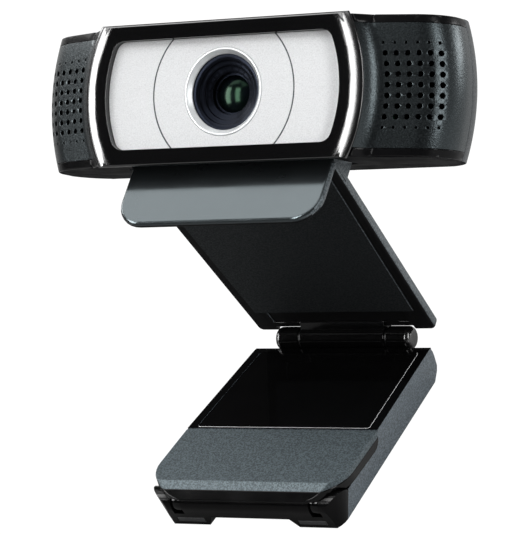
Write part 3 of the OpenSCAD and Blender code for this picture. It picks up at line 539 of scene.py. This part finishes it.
class WEBCAM_OT_lower_arm(bpy.types.Operator):
    """Shell, gloss panel, thread insert and bumpers of the lower arm"""
    bl_idname = "webcam.lower_arm"
    bl_label = "Lower arm"

    def execute(self, context):
        arms = context.scene.webcam_arms
        bumper = moulded_plastic(
            "Bumper_Rubber", (0.05, 0.052, 0.055), rough=0.5, specular=0.4, grain=0.01 * MM)
        self.shell(arms)
        self.panel(arms)
        skin("thread_insert", "Thread_Insert", self.brass(arms), width=0.1 * MM)
        skin("foot_bumpers", "Foot_Bumpers", bumper, width=0.08 * MM)
        return {"FINISHED"}

    def shell(self, arms):
        """Grey shell with a gloss black top and hinge, and a black nose."""
        grey = grain_and_glint_plastic("Lower_Shell_Satin", arms.shell, rough=0.36, specular=0.45, grain=0.015 * MM)
        black = moulded_plastic(
            "Shell_Gloss_Black", arms.panel, rough=0.08, specular=0.3, grain=0.0005 * MM, size=0.8 * MM)
        lug = moulded_plastic("Hinge_Lug_Black", arms.panel, rough=0.24, specular=1.0, grain=0.0005 * MM)
        nose = moulded_plastic(
            "Nose_Black", shade(arms.panel, 0.9), rough=0.2, specular=0.12, grain=0.001 * MM)
        piece = skin("lower_arm_shell", "Lower_Arm_Shell", grey, clamp=True)
        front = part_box("lower_arm_shell")[0][1]
        paint(piece, black, lambda normal, centre: normal.z > 0.7 or from_fold(centre) < arms.lug_r)
        paint(piece, lug, lambda normal, centre: (
            from_fold(centre) < arms.lug_r and abs(centre.x) > arms.lug_x and abs(normal.x) > 0.15))
        paint(piece, nose, lambda normal, centre: (
            centre.y < front + arms.nose_l or (normal.y < -0.35 and centre.y < front + arms.nose_slope_l)))

    def panel(self, arms):
        """Gloss black panel whose bevel to the front and right is painted light grey: a painted highlight along
        those edges.
        """
        gloss = moulded_plastic(
            "Panel_Gloss", arms.panel, rough=0.09, specular=0.15, grain=0.001 * MM, size=1.2 * MM)
        bright = moulded_plastic("Panel_Edge_Painted_Highlight", (0.75, 0.75, 0.76), rough=0.3, specular=0.5)
        # Bevel faces that look up and to the front or right get the light grey finish: a painted highlight.
        paint(skin("arm_panel", "Arm_Panel", gloss), bright, lambda normal, centre: (
            0.1 < normal.z < 0.97 and ((normal.x > 0.2 and centre.x > 0) or normal.y < -0.2)))

    def brass(self, arms):
        """Brass whose relief is a thread along Z."""
        brass = Finish("Insert_Brass", metallic=1.0)
        brass.tones(brass.noise(1.5 * MM, 3.0), (0.3, (0.58, 0.43, 0.20)), (0.7, (0.70, 0.53, 0.26)))
        brass.gloss(brass.noise(0.12 * MM, 3.0), 0.2, 0.36)
        thread = add_node(brass.tree, "ShaderNodeTexWave", {
            "Vector": brass.place, "Scale": 2 * pi / (20 * arms.pitch)}, bands_direction="Z")
        brass.relief(thread.outputs["Fac"], 0.35 * MM)
        return brass.material


class WEBCAM_OT_foot(bpy.types.Operator):
    """Swinging foot with its speckled pad"""
    bl_idname = "webcam.foot"
    bl_label = "Foot"

    def execute(self, context):
        arms = context.scene.webcam_arms
        carrier = moulded_plastic(
            "Foot_Carrier_Black", arms.panel, rough=0.12, specular=0.2, grain=0.0005 * MM)
        pad = grain_and_glint_plastic(
            "Foot_Pad_Speckled", arms.foot, rough=0.5, specular=0.3, grain=0.03 * MM, size=0.3 * MM,
            dark=0.6, light=1.6)
        skin("foot_carrier", "Foot_Carrier", carrier, width=0.1 * MM)
        skin("foot_pad", "Foot_Pad", pad, width=0.15 * MM)
        return {"FINISHED"}


class WEBCAM_OT_stage(bpy.types.Operator):
    """Camera, lamps, floor and background"""
    bl_idname = "webcam.stage"
    bl_label = "Stage"

    def execute(self, context):
        stage = context.scene.webcam_stage
        context.scene.view_settings.view_transform = "Standard"
        self.camera(context, stage)
        self.lamps(head_matrix(context.scene.webcam_head), Matrix.Translation(stage.aim))
        self.floor(stage)
        self.room(context, stage)
        return {"FINISHED"}

    def camera(self, context, stage):
        az, el, lean = stage.azimuth, stage.elevation, stage.roll
        back = Vector((sin(az) * cos(el), -cos(az) * cos(el), sin(el)))
        right = Vector((cos(az), sin(az), 0))
        up = back.cross(right)
        right, up = cos(lean) * right + sin(lean) * up, cos(lean) * up - sin(lean) * right
        turn = Matrix((right, up, back)).transposed().to_4x4()
        data = bpy.data.cameras.new("Camera")
        data.lens = stage.focal
        data.sensor_width = 36.0
        data.sensor_fit = "AUTO"
        data.clip_start, data.clip_end = 0.01, 20.0
        camera = bpy.data.objects.new("Camera", data)
        camera.matrix_world = Matrix.Translation(Vector(stage.aim) + stage.distance * back) @ turn
        context.scene.collection.objects.link(camera)
        context.scene.camera = camera

    def lamp(self, name, home, azimuth, elevation, distance, width, height, radiance, diffuse=True):
        """Rectangle of light that faces home's origin from a direction given in home's own frame."""
        az, el = radians(azimuth), radians(elevation)
        out = Vector((sin(az) * cos(el), -cos(az) * cos(el), sin(el)))
        side = Vector((0, 0, 1)).cross(out).normalized()
        turn = Matrix((side, out.cross(side), out)).transposed().to_4x4()
        data = bpy.data.lights.new(name, "AREA")
        data.shape = "RECTANGLE"
        data.size, data.size_y = width, height
        data.energy = radiance * pi * width * height
        lamp = bpy.data.objects.new(name, data)
        lamp.matrix_world = home @ Matrix.Translation(out * distance) @ turn
        lamp.visible_camera = False
        lamp.visible_diffuse = diffuse
        bpy.context.scene.collection.objects.link(lamp)

    def lamps(self, head, middle):
        """Soft boxes that light everything, and strips that only draw highlights."""
        # name, home, azimuth, elevation, distance, width, height, radiance
        self.lamp("Top_Softbox", middle, -102, 63, 0.8, 0.55, 0.5, 4.2)
        self.lamp("Overhead_Fill", middle, 30, 80, 1.0, 0.5, 0.5, 2.4)
        self.lamp("Side_Softbox", head, 66, 10, 0.7, 0.16, 0.5, 10.5)
        self.lamp("Side_Strip", head, 124, 10, 0.72, 0.3, 0.4, 10.0, diffuse=False)
        self.lamp("Wing_Strip", head, -84, 27, 0.7, 0.3, 0.2, 9.0, diffuse=False)
        self.lamp("Left_Strip", head, -49, 4, 0.7, 0.24, 0.5, 17.0, diffuse=False)
        self.lamp("Right_Strip", head, -14, 4, 0.7, 0.18, 0.5, 17.0, diffuse=False)

    def floor(self, stage):
        """Paper that the camera sees as white, and gloss only at the back and the right of the webcam."""
        body = bmesh.new()
        bmesh.ops.create_grid(body, x_segments=12, y_segments=12, size=3.0)
        floor = new_piece("Floor", body)
        floor.location.z = -0.1 * MM
        material = bpy.data.materials.new("Floor_Paper")
        material.use_nodes = True
        tree = material.node_tree
        tree.nodes.clear()
        ray = add_node(tree, "ShaderNodeLightPath").outputs
        place = add_node(tree, "ShaderNodeTexCoord").outputs["Object"]
        along = add_node(tree, "ShaderNodeSeparateXYZ", {0: place}).outputs
        behind = remap(tree, along["Y"], -0.02, 0.3, 0.04, 0.5, interpolation="SMOOTHSTEP")
        beside = remap(tree, along["X"], 0.015, 0.05, interpolation="SMOOTHSTEP")
        gloss = maths(tree, "MAXIMUM", ray["Is Glossy Ray"], ray["Is Transmission Ray"])
        seen = maths(tree, "MULTIPLY", gloss, maths(tree, "MAXIMUM", behind, beside))
        share = maths(tree, "MULTIPLY", maths(tree, "MAXIMUM", seen, ray["Is Camera Ray"]), stage.floor_share)
        matt = add_node(tree, "ShaderNodeBsdfDiffuse", {"Color": (0.4, 0.4, 0.4, 1)})
        glow = add_node(tree, "ShaderNodeEmission", {"Strength": stage.floor_glow})
        mix = add_node(tree, "ShaderNodeMixShader", {0: share, 1: matt.outputs[0], 2: glow.outputs[0]})
        add_node(tree, "ShaderNodeOutputMaterial", {"Surface": mix.outputs[0]})
        floor.data.materials.append(material)

    def room(self, context, stage):
        """White for the camera, even light for surfaces, and for gloss bright only low at the back."""
        world = bpy.data.worlds.new("Room")
        context.scene.world = world
        world.use_nodes = True
        tree = world.node_tree
        back = next(n for n in tree.nodes if n.type == "BACKGROUND")
        back.inputs["Color"].default_value = (1, 1, 1, 1)
        ray = add_node(tree, "ShaderNodeLightPath").outputs
        place = add_node(tree, "ShaderNodeTexCoord").outputs["Generated"]
        along = add_node(tree, "ShaderNodeSeparateXYZ", {0: place}).outputs
        behind = remap(tree, along["Y"], -0.1, 0.5, interpolation="SMOOTHSTEP")
        low = remap(tree, along["Z"], 0.1, 0.35, 1.0, 0.0, interpolation="SMOOTHSTEP")
        bright = remap(tree, maths(tree, "MULTIPLY", behind, low), 0.0, 1.0, stage.front_gloss, 1.0)
        gloss = maths(tree, "MAXIMUM", ray["Is Glossy Ray"], ray["Is Transmission Ray"])
        room = add_node(tree, "ShaderNodeMix", {"Factor": gloss, "A": stage.room_light, "B": bright})
        level = add_node(tree, "ShaderNodeMix", {
            "Factor": ray["Is Camera Ray"], "A": room.outputs["Result"], "B": 1.0})
        tree.links.new(level.outputs["Result"], back.inputs["Strength"])


OPERATORS = (
    WEBCAM_OT_stage, WEBCAM_OT_housing, WEBCAM_OT_face, WEBCAM_OT_lens, WEBCAM_OT_wings, WEBCAM_OT_works,
    WEBCAM_OT_upper_arm, WEBCAM_OT_lower_arm, WEBCAM_OT_foot,
)
SETTINGS = {"webcam_stage": StageSettings, "webcam_head": HeadSettings, "webcam_arms": ArmSettings}


class WEBCAM_PT_dresser(bpy.types.Panel):
    """Settings and steps of the webcam"""
    bl_idname = "WEBCAM_PT_dresser"
    bl_label = "Webcam"
    bl_space_type = "VIEW_3D"
    bl_region_type = "UI"
    bl_category = "Webcam"

    def draw(self, context):
        for name, settings in SETTINGS.items():
            box = self.layout.box()
            for key in settings.__annotations__:
                box.prop(getattr(context.scene, name), key)
        for step in OPERATORS:
            self.layout.operator(step.bl_idname)


def register():
    for cls in (*SETTINGS.values(), *OPERATORS, WEBCAM_PT_dresser):
        bpy.utils.register_class(cls)
    for name, settings in SETTINGS.items():
        setattr(bpy.types.Scene, name, PointerProperty(type=settings))


def unregister():
    for name in SETTINGS:
        delattr(bpy.types.Scene, name)
    for cls in reversed((*SETTINGS.values(), *OPERATORS, WEBCAM_PT_dresser)):
        bpy.utils.unregister_class(cls)


def main():
    register()
    for step in OPERATORS:
        group, call = step.bl_idname.split(".")
        getattr(getattr(bpy.ops, group), call)()


if __name__ == "__main__":
    main()
